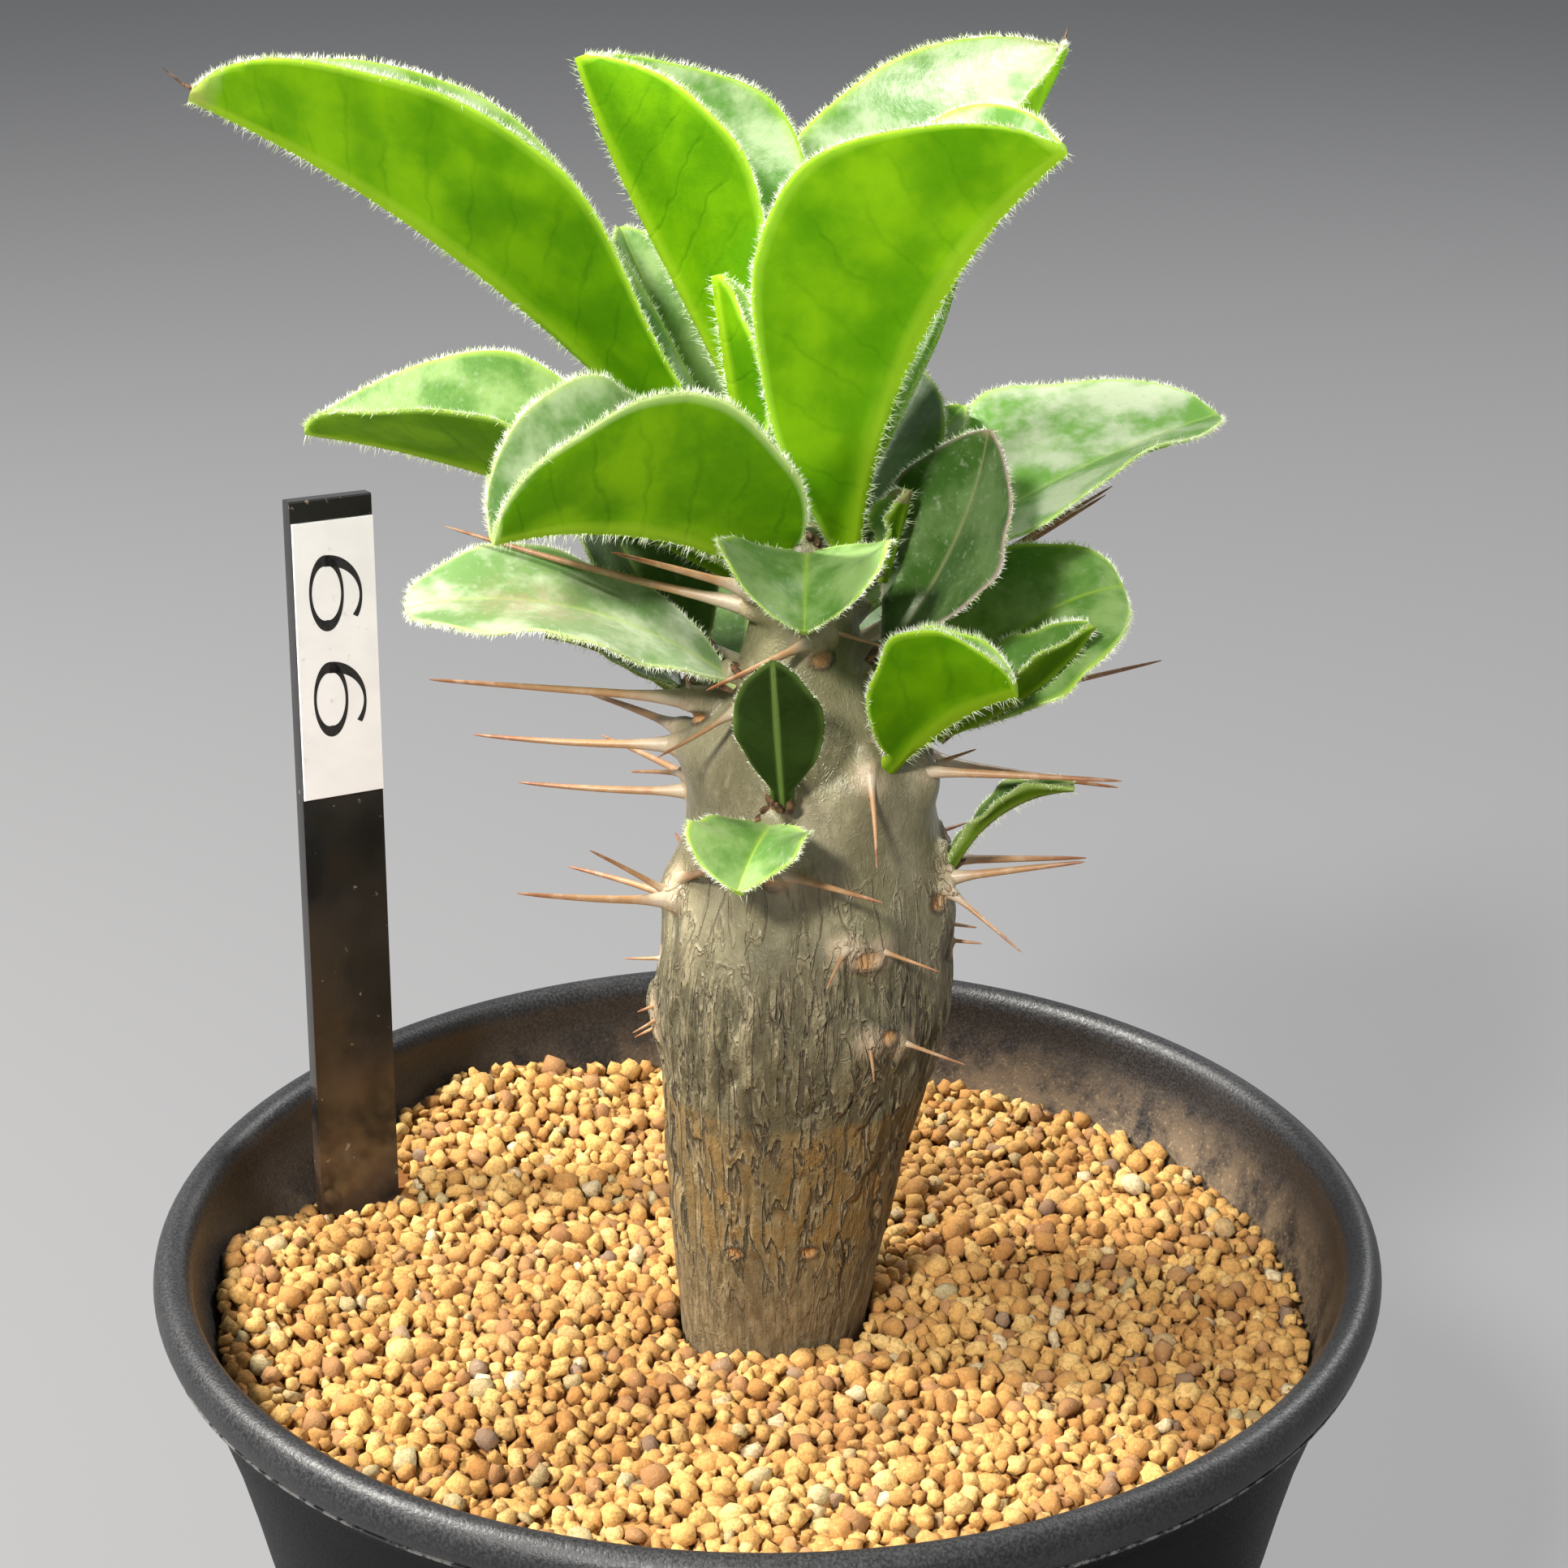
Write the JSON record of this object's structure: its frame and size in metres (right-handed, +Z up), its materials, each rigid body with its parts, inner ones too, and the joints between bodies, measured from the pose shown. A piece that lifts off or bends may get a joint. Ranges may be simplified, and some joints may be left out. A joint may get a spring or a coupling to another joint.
{
  "type": "potted kudu lily",
  "caption": "Succulent plant with a swollen spiny stem and folded fleshy leaves, standing in clay grit in a round plastic nursery pot with a plant tag.",
  "frame": {"origin": "centre of the pot's foot ring, on the surface that the pot stands on", "axes": "+Z up along the pot's axis, -Y towards the front that the picture shows, +X to the right as seen from the front"},
  "size_m": [0.135, 0.135, 0.2443],
  "materials": {
    "pot_plastic": "satin dark grey moulded plastic with a fine speckle",
    "grit": "dull golden tan baked clay grains",
    "bark": "smooth grey-green above, fissured grey-brown below, orange-brown spines",
    "leaf": "fleshy green, satin, with pale bristly margins",
    "tag_plastic": "glossy black",
    "tape": "matt white tape with a black printed number"
  },
  "bodies": {
    "root": {"pot": "pot_plastic", "soil": "grit", "stem": "bark", "leaf_01": "leaf", "leaf_02": "leaf", "leaf_03": "leaf", "leaf_04": "leaf", "leaf_05": "leaf", "leaf_06": "leaf", "leaf_07": "leaf", "leaf_08": "leaf", "leaf_09": "leaf", "leaf_10": "leaf", "leaf_11": "leaf", "leaf_12": "leaf", "leaf_13": "leaf", "leaf_14": "leaf", "leaf_15": "leaf", "leaf_16": "leaf", "leaf_17": "leaf", "leaf_18": "leaf", "leaf_19": "leaf", "leaf_20": "leaf", "leaf_21": "leaf", "leaf_22": "leaf", "leaf_23": "leaf", "leaf_24": "leaf", "leaf_25": "leaf", "leaf_26": "leaf", "tag": "tag_plastic", "tag_tape": "tape"}
  },
  "joints": []
}
